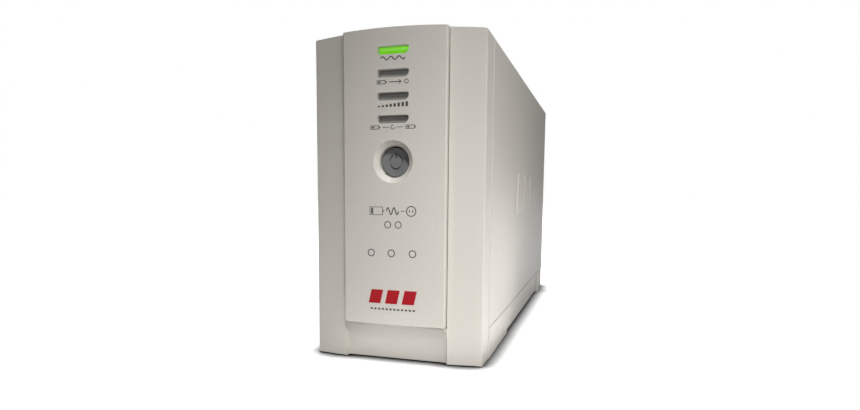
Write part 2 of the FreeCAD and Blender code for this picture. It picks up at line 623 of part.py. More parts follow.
def battery_lead(side):
    """From a push-on connector up through the shelf to a post on the main board."""
    x = side * TERMINAL_X
    low = BATTERY_TOP_Z + 7.02
    post_y = TERMINAL_Y + 14
    return wire_run([(x, TERMINAL_Y, low), (x, TERMINAL_Y, low + 19), (x + side * 3, TERMINAL_Y, BOARD_TOP + 16),
                     (x + side * 3, post_y, BOARD_TOP + 16), (x + side * 3, post_y, BOARD_TOP + 6.02)], 3.0, 1.4)


# ---- transformer ----------------------------------------------------------------------------
CORE_TOP_Z = CORE_LOW_Z + CORE_H
LEG = CORE_W / 6
WINDOW_Z = (CORE_LOW_Z + LEG, CORE_TOP_Z - LEG)
COIL_Z = (WINDOW_Z[0] + 0.3, WINDOW_Z[1] - 0.3)
COIL_SPAN_Y = around(CORE_Y, CORE_STACK + 2 * COIL_OUT)


def transformer_core():
    """Laminated core: three upright legs joined at top and bottom."""
    y = around(CORE_Y, CORE_STACK)
    core = box(around(0, CORE_W), y, (CORE_LOW_Z, CORE_TOP_Z))
    windows = [box((LEG, 2 * LEG) if side > 0 else (-2 * LEG, -LEG), (y[0] - 1, y[1] + 1), WINDOW_Z)
               for side in (-1, 1)]
    return core.cut(windows)


def coil_ring(thick, inner, z):
    """A square ring around the centre leg, inner mm away from it."""
    x = around(0, 2 * (LEG + inner + thick))
    y = around(CORE_Y, CORE_STACK + 2 * (inner + thick))
    ring = rounded(box(x, y, z), Z_AXIS, thick + inner / 2)
    hole = box(around(0, 2 * (LEG + inner)), around(CORE_Y, CORE_STACK + 2 * inner), (z[0] - 1, z[1] + 1))
    return ring.cut(hole)


def transformer_bobbin():
    """Tube around the centre leg with a flange at each end and one between the windings."""
    tube = coil_ring(1.0, 0.3, COIL_Z)
    middle = sum(COIL_Z) / 2
    flanges = [coil_ring(LEG - 0.9, 0.3, (COIL_Z[0], COIL_Z[0] + 1.2)),
               coil_ring(LEG - 0.9, 0.3, around(middle, 1.2)),
               coil_ring(LEG - 0.9, 0.3, (COIL_Z[1] - 1.2, COIL_Z[1]))]
    return joined([tube] + flanges)


def winding(lower):
    middle = sum(COIL_Z) / 2
    z = (COIL_Z[0] + 1.25, middle - 0.65) if lower else (middle + 0.65, COIL_Z[1] - 1.25)
    return coil_ring(LEG - 3.0, 1.35, z)


TRANSFORMER_FEET = [(x, y) for x in (-28.0, 28.0) for y in (CORE_Y - 29.0, CORE_Y + 29.0)]


def transformer_frame():
    """Steel base plate with a strap over the core."""
    plate = box(around(0, 79.4), around(CORE_Y, 28), (DECK_TOP_Z + 0.1, CORE_LOW_Z - 0.05))
    feet = rounded(box(around(0, 70), around(CORE_Y, 68), (DECK_TOP_Z + 0.1, CORE_LOW_Z - 0.05)), Z_AXIS, 4.0)
    band = box(around(0, 79.4), around(CORE_Y, 28), (DECK_TOP_Z + 0.1, CORE_TOP_Z + 1.6))
    band = band.cut(box(around(0, CORE_W + 0.1), around(CORE_Y, 30), (CORE_LOW_Z - 0.05, CORE_TOP_Z + 0.05)))
    frame = joined([plate, feet, rounded(band, Y_AXIS, 1.5, lambda c: c.z > CORE_TOP_Z + 1 and abs(c.x) > 39)])
    return frame.cut([rod(2.1, (x, y, DECK_TOP_Z - 1), (x, y, CORE_LOW_Z + 1)) for x, y in TRANSFORMER_FEET])


def transformer_screws():
    return group([pan_screw((x, y, CORE_LOW_Z - 0.03), (0, 0, -1), 3.6, 2.4, 1.9, 4.0) for x, y in TRANSFORMER_FEET])


def transformer_leads():
    """Leads from the windings up to the terminals at the rear of the main board."""
    leads = []
    for x in (-12.0, 0.0, 12.0):
        y = CORE_Y - CORE_STACK / 2 - 4.0
        leads.append(wire_run([(x, y, COIL_Z[1] + 0.02), (x, y, 112.0), (x, 39.0, 116.0), (x, 39.0, 144.0),
                               (x, BOARD_Y[1] - 5, 144.0), (x, BOARD_Y[1] - 5, BOARD_TOP + 8.02)], 2.0, 1.1))
    return group(leads)


# ---- main board -----------------------------------------------------------------------------
BOARD_POSTS = [(x, y) for x in (-33.0, 33.0) for y in (-103.0, 30.0)]
LEAD_HOLE_Y = TERMINAL_Y


def board_shelf():
    """Plastic shelf over the battery; the main board stands on its posts."""
    shelf = box((-42.6, 42.6), (-109.5, 36.0), (SHELF_Z, SHELF_Z + 2))
    holes = [box(around(side * TERMINAL_X, 9), around(LEAD_HOLE_Y, 9), (SHELF_Z - 1, SHELF_Z + 3)) for side in (-1, 1)]
    posts = [rod(3.0, (x, y, SHELF_Z + 1), (x, y, BOARD_Z - 0.02)) for x, y in BOARD_POSTS]
    return joined([shelf.cut(holes)] + posts).cut([rod(1.0, (x, y, SHELF_Z - 1), (x, y, BOARD_Z + 1))
                                                   for x, y in BOARD_POSTS])


def main_board():
    board = rounded(box((-BOARD_HALF, BOARD_HALF), BOARD_Y, (BOARD_Z, BOARD_TOP)), Z_AXIS, 1.5)
    holes = [rod(1.4, (x, y, BOARD_Z - 1), (x, y, BOARD_TOP + 1)) for x, y in BOARD_POSTS]
    holes += [rod(3.2, (side * TERMINAL_X, LEAD_HOLE_Y, BOARD_Z - 1), (side * TERMINAL_X, LEAD_HOLE_Y, BOARD_TOP + 1))
              for side in (-1, 1)]
    return board.cut(holes)


def board_screws():
    """Screws of the main board and the front board, all alike."""
    main = [pan_screw((x, y, BOARD_TOP + 0.02), (0, 0, -1), 2.4, 1.6, 0.95, 5.0) for x, y in BOARD_POSTS]
    front = [pan_screw((x, FRONT_BOARD_Y + BOARD_T + 0.02, z), (0, -1, 0), 2.2, 1.6, 0.85, 6.0)
             for x, z in POST_PLACES]
    return group(main + front)


HEAT_SINK_Y = (-70.0, -8.0)
HEAT_SINK_X = 27.0


def heat_sinks():
    """Two finned extrusions standing along the board's sides."""
    sinks = []
    for side in (-1, 1):
        web_x = around(side * HEAT_SINK_X, 3.0)
        low = BOARD_TOP + 0.05
        web = box(web_x, HEAT_SINK_Y, (low, low + 24))
        fins = [box((HEAT_SINK_X, 37.0) if side > 0 else (-37.0, -HEAT_SINK_X), HEAT_SINK_Y, around(low + z, 1.2))
                for z in (0.6, 6.0, 11.4, 16.8, 22.2)]
        sinks.append(joined([web] + fins))
    return group(sinks)


def power_transistors():
    """Four transistors flat against the heat sinks, on their three legs."""
    made = []
    for side in (-1, 1):
        face = side * (HEAT_SINK_X - 1.55)
        for y in (-56.0, -22.0):
            out = (face - 4.4, face) if side > 0 else (face, face + 4.4)
            tab = (face - 1.3, face) if side > 0 else (face, face + 1.3)
            body = box(out, around(y, 10.2), (BOARD_TOP + 4, BOARD_TOP + 13))
            plate = box(tab, around(y, 10.0), (BOARD_TOP + 5, BOARD_TOP + 19))
            legs = [box(around(sum(out) / 2, 0.6), around(y + step, 0.9), (BOARD_TOP + 0.05, BOARD_TOP + 5))
                    for step in (-2.54, 0, 2.54)]
            made.append(joined([body, plate] + legs))
    return group(made)


def relays():
    return group([rounded(box(around(x, 15.6), around(y, 19.2), (BOARD_TOP + 0.05, BOARD_TOP + 15.6)), Z_AXIS, 0.8)
                  for x, y in ((-27.0, 16.0), (-9.0, 16.0), (9.0, 8.0))])


def capacitors():
    """Upright electrolytic capacitors with a rolled shoulder."""
    made = []
    for x, y, radius, height in ((0.0, -62.0, 8.0, 24.0), (-12.0, -40.0, 5.0, 19.0), (12.0, -40.0, 5.0, 19.0),
                                 (0.0, -24.0, 4.0, 12.0)):
        can = rod(radius, (x, y, BOARD_TOP + 0.05), (x, y, BOARD_TOP + height))
        can = can.makeFillet(0.8, [e for e in can.Edges if e.Curve.TypeId == "Part::GeomCircle"])
        made.append(can)
    return group(made)


def varistors():
    """Three discs on edge."""
    return group([joined([rod(7.0, (x - 2.2, 10.0, BOARD_TOP + 9), (x + 2.2, 10.0, BOARD_TOP + 9)),
                          box(around(x, 0.7), around(6.5, 0.7), (BOARD_TOP + 0.05, BOARD_TOP + 5)),
                          box(around(x, 0.7), around(13.5, 0.7), (BOARD_TOP + 0.05, BOARD_TOP + 5))])
                  for x in (22.0, 28.0, 34.0)])


FUSE_Y = -84.0


def fuse():
    """Glass fuse with its two end caps."""
    z = BOARD_TOP + 6.0
    tube = rod(2.4, (-6, FUSE_Y, z), (6, FUSE_Y, z))
    caps = [rod(2.6, (-10, FUSE_Y, z), (-5.5, FUSE_Y, z)), rod(2.6, (5.5, FUSE_Y, z), (10, FUSE_Y, z))]
    return joined([tube] + caps)


def fuse_clips():
    """Two spring clips that hold the fuse."""
    clips = []
    for side in (-1, 1):
        x = around(side * 7.8, 3.2)
        clip = box(x, around(FUSE_Y, 7.0), (BOARD_TOP + 0.05, BOARD_TOP + 7.4))
        clip = clip.cut(rod(2.62, (side * 5, FUSE_Y, BOARD_TOP + 6.0), (side * 11, FUSE_Y, BOARD_TOP + 6.0)))
        clips.append(clip.cut(box((x[0] - 1, x[1] + 1), around(FUSE_Y, 4.6), (BOARD_TOP + 1, BOARD_TOP + 9))))
    return group(clips)


def buzzer():
    x, y = 14.0, -73.0
    can = rod(6.0, (x, y, BOARD_TOP + 0.05), (x, y, BOARD_TOP + 9.5))
    return can.cut(rod(1.0, (x, y, BOARD_TOP + 6), (x, y, BOARD_TOP + 10)))


def chips():
    """Controller and driver chips with their legs."""
    made = []
    for x, y, pins in ((-16.0, -88.0, 10), (-12.0, -20.0, 7)):
        length = pins * 2.54
        body = box(around(x, 6.4), around(y, length), (BOARD_TOP + 0.6, BOARD_TOP + 3.8))
        legs = [box(around(x + side * 3.6, 1.0), around(y - length / 2 + 1.27 + i * 2.54, 0.5),
                    (BOARD_TOP + 0.05, BOARD_TOP + 2.4)) for i in range(pins) for side in (-1, 1)]
        made.append(joined([body] + legs))
    return group(made)


def board_connectors():
    """Header for the ribbon cable, posts for the battery leads, terminals for mains and transformer leads."""
    header = box(around(0, 15), around(BOARD_Y[0] + 8, 6), (BOARD_TOP + 0.05, BOARD_TOP + 5.38))
    posts = [box(around(side * (TERMINAL_X + 3), 6), around(TERMINAL_Y + 14, 6), (BOARD_TOP + 0.05, BOARD_TOP + 6))
             for side in (-1, 1)]
    rear = [box(around(x, 6), around(BOARD_Y[1] - 5, 6), (BOARD_TOP + 0.05, BOARD_TOP + 8)) for x in (-12.0, 0.0, 12.0)]
    mains = [box(around(x, 5), around(BOARD_Y[1] - 5, 5), (BOARD_TOP + 0.05, BOARD_TOP + 8)) for x in (20.0, 26.0)]
    return group([header] + posts + rear + mains)


# ---- rear panel and its sockets ---------------------------------------------------------------
PANEL_Y = (PANEL_REAR_Y - REAR_PANEL_T, PANEL_REAR_Y)
OUTLETS = [(x, z) for z in OUTLET_ROWS for x in (-SOCKET_X, SOCKET_X)]
BODY_W = 28.0
BODY_H = 20.2
INLET_W = 28.4
INLET_H = 21.0
BREAKER_NECK_R = 5.4
PHONE_X = -17.5
DATA_X = 19.0
JACK_BODY_H = 15.0
PHONE_W = 29.0
DATA_W = 16.0
VENT_ZS = [30.5 + 4.6 * i for i in range(4)]


def chamfered_block(x, z, width, height, y, cut):
    """A block along Y whose two upper corners are cut off."""
    half = width / 2
    points = [(x - half, y[0], z - height / 2), (x + half, y[0], z - height / 2), (x + half, y[0], z + height / 2 - cut),
              (x + half - cut, y[0], z + height / 2), (x - half + cut, y[0], z + height / 2),
              (x - half, y[0], z + height / 2 - cut)]
    return prism(points, Y_AXIS * (y[1] - y[0]))


def rear_panel():
    """Plate between the housing halves with openings for the sockets and a row of vents."""
    plate = box((-42.4, 42.4), PANEL_Y, (DECK_TOP_Z + 0.4, 160.4))
    plate = rounded(plate, Y_AXIS, 1.5)
    through = (PANEL_Y[0] - 1, PANEL_Y[1] + 1)
    cuts = [box(around(x, BODY_W + 0.1), through, around(z, BODY_H + 0.1)) for x, z in OUTLETS]
    cuts.append(box(around(-SOCKET_X, INLET_W + 0.1), through, around(INLET_Z, INLET_H + 0.1)))
    cuts.append(rod(BREAKER_NECK_R + 0.05, (SOCKET_X, through[0], BREAKER_Z), (SOCKET_X, through[1], BREAKER_Z)))
    cuts.append(box(around(PHONE_X, PHONE_W + 0.1), through, around(JACK_Z, JACK_BODY_H + 0.1)))
    cuts.append(box(around(DATA_X, DATA_W + 0.1), through, around(JACK_Z, JACK_BODY_H + 0.1)))
    for z in VENT_ZS:
        for x in (-24.0, 0.0, 24.0):
            cuts.append(rounded(box(around(x, 19.0), through, around(z, 2.2)), Y_AXIS, 1.05))
    return plate.cut(cuts)


PIN_OFFSETS = ((-7.0, -2.0), (7.0, -2.0), (0.0, 2.0))
NOSE_W = 22.4
NOSE_H = 14.6
WELL_W = 26.4
WELL_H = 18.6
OUTLET_BACK_Y = PANEL_REAR_Y - 21.0


def outlet(x, z):
    """One appliance outlet: a well with a three-slot nose standing in it."""
    face = PANEL_REAR_Y + FLANGE_T
    flange = rounded(box(around(x, BODY_W + 3.4), (PANEL_REAR_Y, face), around(z, BODY_H + 3.2)), Y_AXIS, 1.5)
    body = box(around(x, BODY_W), (OUTLET_BACK_Y, face - 0.1), around(z, BODY_H))
    well = chamfered_block(x, z, WELL_W, WELL_H, (OUTLET_BACK_Y + 2.5, face + 1), 4.2)
    nose = chamfered_block(x, z, NOSE_W, NOSE_H, (OUTLET_BACK_Y + 2, face - 1.0), 3.6)
    slots = [box(around(x + dx, 2.6), (OUTLET_BACK_Y - 1, face), around(z + dz, 4.8)) for dx, dz in PIN_OFFSETS]
    return joined([flange, body]).cut(well).fuse(nose).removeSplitter().cut(slots)


def outlet_contacts():
    """Contact blades in the twelve slots; each pair, one above the other, shares a strip behind the sockets."""
    made = []
    strip_y = (OUTLET_BACK_Y - 2.0, OUTLET_BACK_Y - 1.2)
    for x in (-SOCKET_X, SOCKET_X):
        for dx, dz in PIN_OFFSETS:
            blades = [box(around(x + dx, 1.2), (strip_y[0], PANEL_REAR_Y - 4), around(z + dz, 4.0))
                      for z in OUTLET_ROWS]
            strip = box(around(x + dx, 4.0), strip_y, (OUTLET_ROWS[1] + dz - 2, OUTLET_ROWS[0] + dz + 2))
            made.append(joined(blades + [strip]))
    return group(made)


INLET_BACK_Y = PANEL_REAR_Y - 19.0


def power_inlet():
    """Appliance inlet: an open well for the mains connector."""
    x, z = -SOCKET_X, INLET_Z
    face = PANEL_REAR_Y + FLANGE_T
    flange = rounded(box(around(x, INLET_W + 3.4), (PANEL_REAR_Y, face), around(z, INLET_H + 3.2)), Y_AXIS, 1.5)
    body = box(around(x, INLET_W), (INLET_BACK_Y, face - 0.1), around(z, INLET_H))
    well = chamfered_block(x, z, 24.2, 16.8, (INLET_BACK_Y + 2.5, face + 1), 4.0)
    pins = [box(around(x + dx, 2.02), (INLET_BACK_Y - 1, INLET_BACK_Y + 4), around(z + dz, 4.02))
            for dx, dz in PIN_OFFSETS]
    return joined([flange, body]).cut([well] + pins)


def inlet_pins():
    """Three flat pins; their tails behind the inlet take the mains wires."""
    made = []
    for dx, dz in PIN_OFFSETS:
        x, z = -SOCKET_X + dx, INLET_Z + dz
        pin = box(around(x, 2.0), (INLET_BACK_Y - 0.5, PANEL_REAR_Y - 1.5), around(z, 4.0))
        pin = pin.makeChamfer(0.5, [e for e in pin.Edges if e.CenterOfMass.y > PANEL_REAR_Y - 1.6])
        tail = box(around(x, 0.8), (INLET_BACK_Y - 7, INLET_BACK_Y), around(z, 4.0))
        made.append(joined([pin, tail]))
    return group(made)


BREAKER_FACE_Y = PANEL_REAR_Y + 3.0


def circuit_breaker():
    """Breaker body behind the panel with a threaded neck through it."""
    body = rounded(box(around(SOCKET_X, 14.0), (PANEL_Y[0] - 18.0, PANEL_Y[0] - 0.02), around(BREAKER_Z, 30.0)),
                   Y_AXIS, 1.0)
    neck = rod(BREAKER_NECK_R, (SOCKET_X, PANEL_Y[0] - 0.5, BREAKER_Z), (SOCKET_X, BREAKER_FACE_Y, BREAKER_Z))
    bore = rod(3.75, (SOCKET_X, PANEL_Y[0] - 8, BREAKER_Z), (SOCKET_X, BREAKER_FACE_Y + 1, BREAKER_Z))
    return joined([body, neck]).cut(bore)


def breaker_nut():
    """Hexagon nut on the breaker's neck."""
    across = 8.2
    y = (PANEL_REAR_Y + 0.02, PANEL_REAR_Y + 2.2)
    points = [(SOCKET_X + across * math.cos(math.radians(60 * i)), y[0],
               BREAKER_Z + across * math.sin(math.radians(60 * i))) for i in range(6)]
    nut = prism(points, Y_AXIS * (y[1] - y[0]))
    nut = nut.common(cone(9.6, 7.2, (SOCKET_X, y[0] - 0.1, BREAKER_Z), (SOCKET_X, y[1] + 0.5, BREAKER_Z)))
    return nut.cut(rod(BREAKER_NECK_R + 0.03, (SOCKET_X, y[0] - 1, BREAKER_Z), (SOCKET_X, y[1] + 1, BREAKER_Z)))


def breaker_reset_button():
    """Push button that stands out of the breaker's neck."""
    end = BREAKER_FACE_Y + 2.6
    pin = rod(3.4, (SOCKET_X, PANEL_Y[0] - 4, BREAKER_Z), (SOCKET_X, end, BREAKER_Z))
    return pin.makeFillet(0.7, [e for e in pin.Edges if e.Curve.TypeId == "Part::GeomCircle"
                                and e.CenterOfMass.y > end - 0.1])


JACK_BACK_Y = PANEL_REAR_Y - 15.0
JACK_FACE_Y = PANEL_REAR_Y + 1.0


def jack(x, width, ways, way_w, way_h):
    """A block with one or more modular jack openings, each with a notch for the plug's latch."""
    block = rounded(box(around(x, width), (JACK_BACK_Y, JACK_FACE_Y), around(JACK_Z, JACK_BODY_H)), Y_AXIS, 0.6)
    cuts = []
    for way_x in ways:
        cuts.append(box(around(way_x, way_w), (JACK_BACK_Y + 2, JACK_FACE_Y + 1), (JACK_Z - 3.2, JACK_Z - 3.2 + way_h)))
        cuts.append(box(around(way_x, 4.4), (JACK_BACK_Y + 6, JACK_FACE_Y + 1), (JACK_Z - 6.0, JACK_Z - 3.1)))
    return block.cut(cuts)


PHONE_WAYS = (PHONE_X - 7.0, PHONE_X + 7.0)


def jack_contacts():
    """Sprung contact wires, four in each phone jack and eight in the data port."""
    made = []
    for way_x, count in ((PHONE_WAYS[0], 4), (PHONE_WAYS[1], 4), (DATA_X, 8)):
        for i in range(count):
            x = way_x + (i - (count - 1) / 2) * 1.02
            top = JACK_Z + 3.35
            made.append(prism([(x - 0.2, JACK_FACE_Y - 3, top), (x - 0.2, JACK_BACK_Y + 2.6, top - 3.2),
                               (x - 0.2, JACK_BACK_Y + 2.6, top - 3.6), (x - 0.2, JACK_FACE_Y - 3, top - 0.4)],
                              X_AXIS * 0.4))
    return group(made)


# ---- mains wiring ---------------------------------------------------------------------------
def mains_wire(pin, board_x, high_z):
    """From an inlet pin's tail, up over the transformer and on to the main board."""
    dx, dz = PIN_OFFSETS[pin]
    x, z = -SOCKET_X + dx, INLET_Z + dz
    tail = INLET_BACK_Y - 7.02
    end_y = BOARD_Y[1] - 5
    climb_y = 44.5
    return wire_run([(x, tail, z), (x, tail - 5, z), (x, tail - 5, high_z), (board_x, climb_y + 6, high_z),
                     (board_x, climb_y, high_z + 4), (board_x, climb_y, 150.0), (board_x, end_y, 150.0),
                     (board_x, end_y, BOARD_TOP + 8.02)], 2.6, 1.3)


def earth_wire():
    """From the inlet's earth pin to the transformer's steel strap."""
    dx, dz = PIN_OFFSETS[2]
    x, z = -SOCKET_X + dx, INLET_Z + dz
    tail = INLET_BACK_Y - 7.02
    return wire_run([(x, tail, z), (x, tail - 10, z), (x, CORE_Y, z + 5), (x, CORE_Y, CORE_TOP_Z + 1.62)], 2.0, 1.3)


def main():
    shell = housing_shell()
    parts = {
        "housing_right": housing_right(shell),
        "housing_left": housing_left(shell),
        "housing_screws": housing_screws(),
        "front_bezel": front_bezel(),
        "front_panel": front_panel(),
        "power_button": power_button(),
        "switch_plunger": switch_plunger(),
        "power_switch": power_switch(),
        "front_board": front_board(),
        "indicator_leds": indicator_leds(),
        "ribbon_cable": ribbon_cable(),
        "battery_cover": battery_cover(),
        "battery_case": battery_case(),
        "battery_plates": battery_plates(),
        "battery_lid": battery_lid(),
        "battery_terminals": battery_terminals(),
        "lead_connectors": lead_connectors(),
        "battery_lead_red": battery_lead(1),
        "battery_lead_black": battery_lead(-1),
        "transformer_core": transformer_core(),
        "transformer_bobbin": transformer_bobbin(),
        "primary_winding": winding(True),
        "secondary_winding": winding(False),
        "transformer_frame": transformer_frame(),
        "transformer_screws": transformer_screws(),
        "transformer_leads": transformer_leads(),
        "board_shelf": board_shelf(),
        "main_board": main_board(),
        "board_screws": board_screws(),
        "heat_sinks": heat_sinks(),
        "power_transistors": power_transistors(),
        "relays": relays(),
        "capacitors": capacitors(),
        "varistors": varistors(),
        "fuse": fuse(),
        "fuse_clips": fuse_clips(),
        "buzzer": buzzer(),
        "chips": chips(),
        "board_connectors": board_connectors(),
        "rear_panel": rear_panel(),
        "outlet_contacts": outlet_contacts(),
        "power_inlet": power_inlet(),
        "inlet_pins": inlet_pins(),
        "circuit_breaker": circuit_breaker(),
        "breaker_nut": breaker_nut(),
        "breaker_reset_button": breaker_reset_button(),
        "phone_jack": jack(PHONE_X, PHONE_W, PHONE_WAYS, 10.0, 7.4),
        "data_port": jack(DATA_X, DATA_W, (DATA_X,), 12.0, 7.4),
        "jack_contacts": jack_contacts(),
        "live_wire": mains_wire(1, 20.0, 104.0),
        "neutral_wire": mains_wire(0, 26.0, 99.0),
        "earth_wire": earth_wire(),
    }
    lens_names = ("lens_on_line", "lens_on_battery", "lens_overload", "lens_replace_battery")
    for name, z in zip(lens_names, SLOT_ZS):
        parts[name] = lens(z)
    for number, (x, z) in enumerate(OUTLETS, 1):
        parts[f"outlet_{number}"] = outlet(x, z)
    os.makedirs("parts", exist_ok=True)
    for name, shape in parts.items():
        if not shape.isValid():
            print("not valid:", name)
        if any(solid.Volume <= 0 for solid in shape.Solids) or not shape.Solids:
            print("no volume:", name)
        shape.exportStep(f"parts/{name}.step")


main()
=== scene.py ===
import json
import math

import bpy
from mathutils import Euler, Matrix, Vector


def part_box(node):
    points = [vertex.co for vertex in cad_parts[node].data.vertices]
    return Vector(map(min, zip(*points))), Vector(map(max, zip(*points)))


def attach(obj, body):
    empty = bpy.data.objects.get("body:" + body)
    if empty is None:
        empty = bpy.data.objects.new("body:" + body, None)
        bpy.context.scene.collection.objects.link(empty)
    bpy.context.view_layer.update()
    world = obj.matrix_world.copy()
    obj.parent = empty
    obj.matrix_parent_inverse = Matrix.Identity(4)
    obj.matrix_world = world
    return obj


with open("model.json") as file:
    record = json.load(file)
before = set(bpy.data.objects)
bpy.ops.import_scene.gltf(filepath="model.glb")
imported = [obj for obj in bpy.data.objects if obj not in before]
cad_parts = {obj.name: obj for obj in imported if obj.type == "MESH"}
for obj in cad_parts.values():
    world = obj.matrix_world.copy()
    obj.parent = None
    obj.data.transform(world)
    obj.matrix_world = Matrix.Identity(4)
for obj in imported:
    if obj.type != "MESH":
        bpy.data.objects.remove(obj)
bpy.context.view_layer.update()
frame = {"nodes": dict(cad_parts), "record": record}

MM = 0.001
WAVE_BANDS = 3.1831         # bands in a metre that a wave texture draws at scale 1
MIX_COLOUR_A, MIX_COLOUR_B, MIX_COLOUR_OUT = 6, 7, 2     # a Mix node's colour sockets
scene = bpy.context.scene


# ---- materials --------------------------------------------------------------------------------
class Surface:
    """A Principled material whose patterns are laid out in object coordinates, in metres."""

    def __init__(self, name, roughness=0.5, metallic=0.0, **sockets):
        self.mat = bpy.data.materials.new(name)
        self.mat.use_nodes = True
        self.tree = self.mat.node_tree
        self.shader = self.tree.nodes["Principled BSDF"]
        self.shader.inputs["Roughness"].default_value = roughness
        self.shader.inputs["Metallic"].default_value = metallic
        for socket, value in sockets.items():
            self.shader.inputs[socket.replace("_", " ")].default_value = value
        self.coords = self.tree.nodes.new("ShaderNodeTexCoord").outputs["Object"]

    def put(self, value, socket):
        """Sets a node's input to a number, a colour or another node's output."""
        if isinstance(value, bpy.types.NodeSocket):
            self.tree.links.new(value, socket)
        elif isinstance(value, (tuple, list)) and len(value) == 3 and socket.type == "RGBA":
            socket.default_value = (*value, 1.0)
        else:
            socket.default_value = value

    def stretched(self, x=1.0, y=1.0, z=1.0):
        """The coordinates scaled along each axis."""
        node = self.tree.nodes.new("ShaderNodeMapping")
        node.inputs["Scale"].default_value = (x, y, z)
        self.put(self.coords, node.inputs["Vector"])
        return node.outputs["Vector"]

    def noise(self, scale, detail=2.0, rough=0.5, where=None):
        """Soft noise from 0 to 1, with scale features in a metre."""
        node = self.tree.nodes.new("ShaderNodeTexNoise")
        node.inputs["Scale"].default_value = scale
        node.inputs["Detail"].default_value = detail
        node.inputs["Roughness"].default_value = rough
        self.put(self.coords if where is None else where, node.inputs["Vector"])
        return node.outputs["Fac"]

    def cells(self, scale):
        """The distance to the nearest of scattered points, scale of them in a metre."""
        node = self.tree.nodes.new("ShaderNodeTexVoronoi")
        node.inputs["Scale"].default_value = scale
        self.put(self.coords, node.inputs["Vector"])
        return node.outputs["Distance"]

    def waves(self, pitch, axis, distortion=0.0):
        """Bands across an axis, one every pitch metres."""
        node = self.tree.nodes.new("ShaderNodeTexWave")
        node.bands_direction = axis
        node.inputs["Scale"].default_value = 1.0 / pitch / WAVE_BANDS
        node.inputs["Distortion"].default_value = distortion
        self.put(self.coords, node.inputs["Vector"])
        return node.outputs["Fac"]

    def ramp(self, value, *stops):
        """A value through a ramp of (place, brightness) stops."""
        node = self.tree.nodes.new("ShaderNodeValToRGB")
        while len(node.color_ramp.elements) < len(stops):
            node.color_ramp.elements.new(0.5)
        for element, (place, level) in zip(node.color_ramp.elements, stops):
            element.position = place
            element.color = (level, level, level, 1.0)
        self.put(value, node.inputs["Fac"])
        return node.outputs["Color"]

    def span(self, value, low, high):
        """A value from 0..1 moved to low..high."""
        node = self.tree.nodes.new("ShaderNodeMapRange")
        self.put(value, node.inputs["Value"])
        node.inputs["To Min"].default_value = low
        node.inputs["To Max"].default_value = high
        return node.outputs["Result"]

    def maths(self, operation, a, b):
        """Two values combined by one operation."""
        node = self.tree.nodes.new("ShaderNodeMath")
        node.operation = operation
        self.put(a, node.inputs[0])
        self.put(b, node.inputs[1])
        return node.outputs[0]

    def mix(self, factor, a, b, blend="MIX"):
        """Colour a, going over to colour b as the factor rises."""
        node = self.tree.nodes.new("ShaderNodeMix")
        node.data_type = "RGBA"
        node.blend_type = blend
        self.put(factor, node.inputs["Factor"])
        self.put(a, node.inputs[MIX_COLOUR_A])
        self.put(b, node.inputs[MIX_COLOUR_B])
        return node.outputs[MIX_COLOUR_OUT]

    def soft_edge(self, radius):
        """The normal with edges rounded off by radius."""
        node = self.tree.nodes.new("ShaderNodeBevel")
        node.samples = 4
        node.inputs["Radius"].default_value = radius
        return node.outputs["Normal"]

    def edges(self, rounded):
        """1 on sharp edges, 0 elsewhere, from a rounded normal."""
        flat = self.tree.nodes.new("ShaderNodeNewGeometry").outputs["Normal"]
        node = self.tree.nodes.new("ShaderNodeVectorMath")
        node.operation = "DOT_PRODUCT"
        self.put(rounded, node.inputs[0])
        self.put(flat, node.inputs[1])
        return self.ramp(node.outputs["Value"], (0.80, 1.0), (0.99, 0.0))

    def relief(self, height, depth, strength=1.0, normal=None):
        """Bumps of a real depth in metres, laid over an optional normal."""
        node = self.tree.nodes.new("ShaderNodeBump")
        node.inputs["Strength"].default_value = strength
        node.inputs["Distance"].default_value = depth
        self.put(height, node.inputs["Height"])
        if normal is not None:
            self.put(normal, node.inputs["Normal"])
        return node.outputs["Normal"]

    def finish(self, colour, roughness=None, normal=None):
        """Wires up the shader, and gives the finished material."""
        self.put(colour, self.shader.inputs["Base Color"])
        if roughness is not None:
            self.put(roughness, self.shader.inputs["Roughness"])
        if normal is not None:
            self.put(normal, self.shader.inputs["Normal"])
        return self.mat


def shade(colour, factor):
    """The colour made darker or paler, and no brighter than white."""
    return tuple(min(1.0, c * factor) for c in colour)


def moulded(name, colour, rough=(0.42, 0.55), grain=0.00045, depth=0.00003, bevel=0.0003, wear=1.12,
            **sockets):
    """Moulded plastic: spark-eroded grain, slow drifts of tone and gloss, rounded and paler edges."""
    s = Surface(name, **sockets)
    rounded = s.soft_edge(bevel)
    drift = s.noise(14.0, 3.0)
    speckle = s.noise(1.0 / grain, 2.0, 0.6)
    pits = s.cells(0.7 / grain)
    base = s.mix(s.ramp(drift, (0.3, 0.0), (0.7, 1.0)), shade(colour, 0.975), shade(colour, 1.02))
    base = s.mix(s.ramp(speckle, (0.35, 0.0), (0.65, 1.0)), shade(colour, 0.955), base)
    base = s.mix(s.edges(rounded), base, shade(colour, wear))
    gloss = s.span(s.noise(90.0, 4.0, 0.65), *rough)
    height = s.maths("ADD", speckle, s.maths("MULTIPLY", pits, 0.6))
    return s.finish(base, gloss, s.relief(height, depth, 0.6, rounded))


def glossy(name, colour, rough=(0.12, 0.22), bevel=0.0002, **sockets):
    """Polished plastic with faint flow lines and fine scuffs."""
    s = Surface(name, **sockets)
    rounded = s.soft_edge(bevel)
    flow = s.noise(120.0, 2.0, where=s.stretched(1.0, 1.0, 4.0))
    scuffs = s.noise(2600.0, 5.0, 0.7, where=s.stretched(1.0, 0.15, 1.0))
    base = s.mix(s.ramp(flow, (0.35, 0.0), (0.65, 1.0)), shade(colour, 0.93), shade(colour, 1.05))
    base = s.mix(s.edges(rounded), base, shade(colour, 1.2))
    return s.finish(base, s.span(scuffs, *rough), s.relief(scuffs, 0.000008, 0.4, rounded))


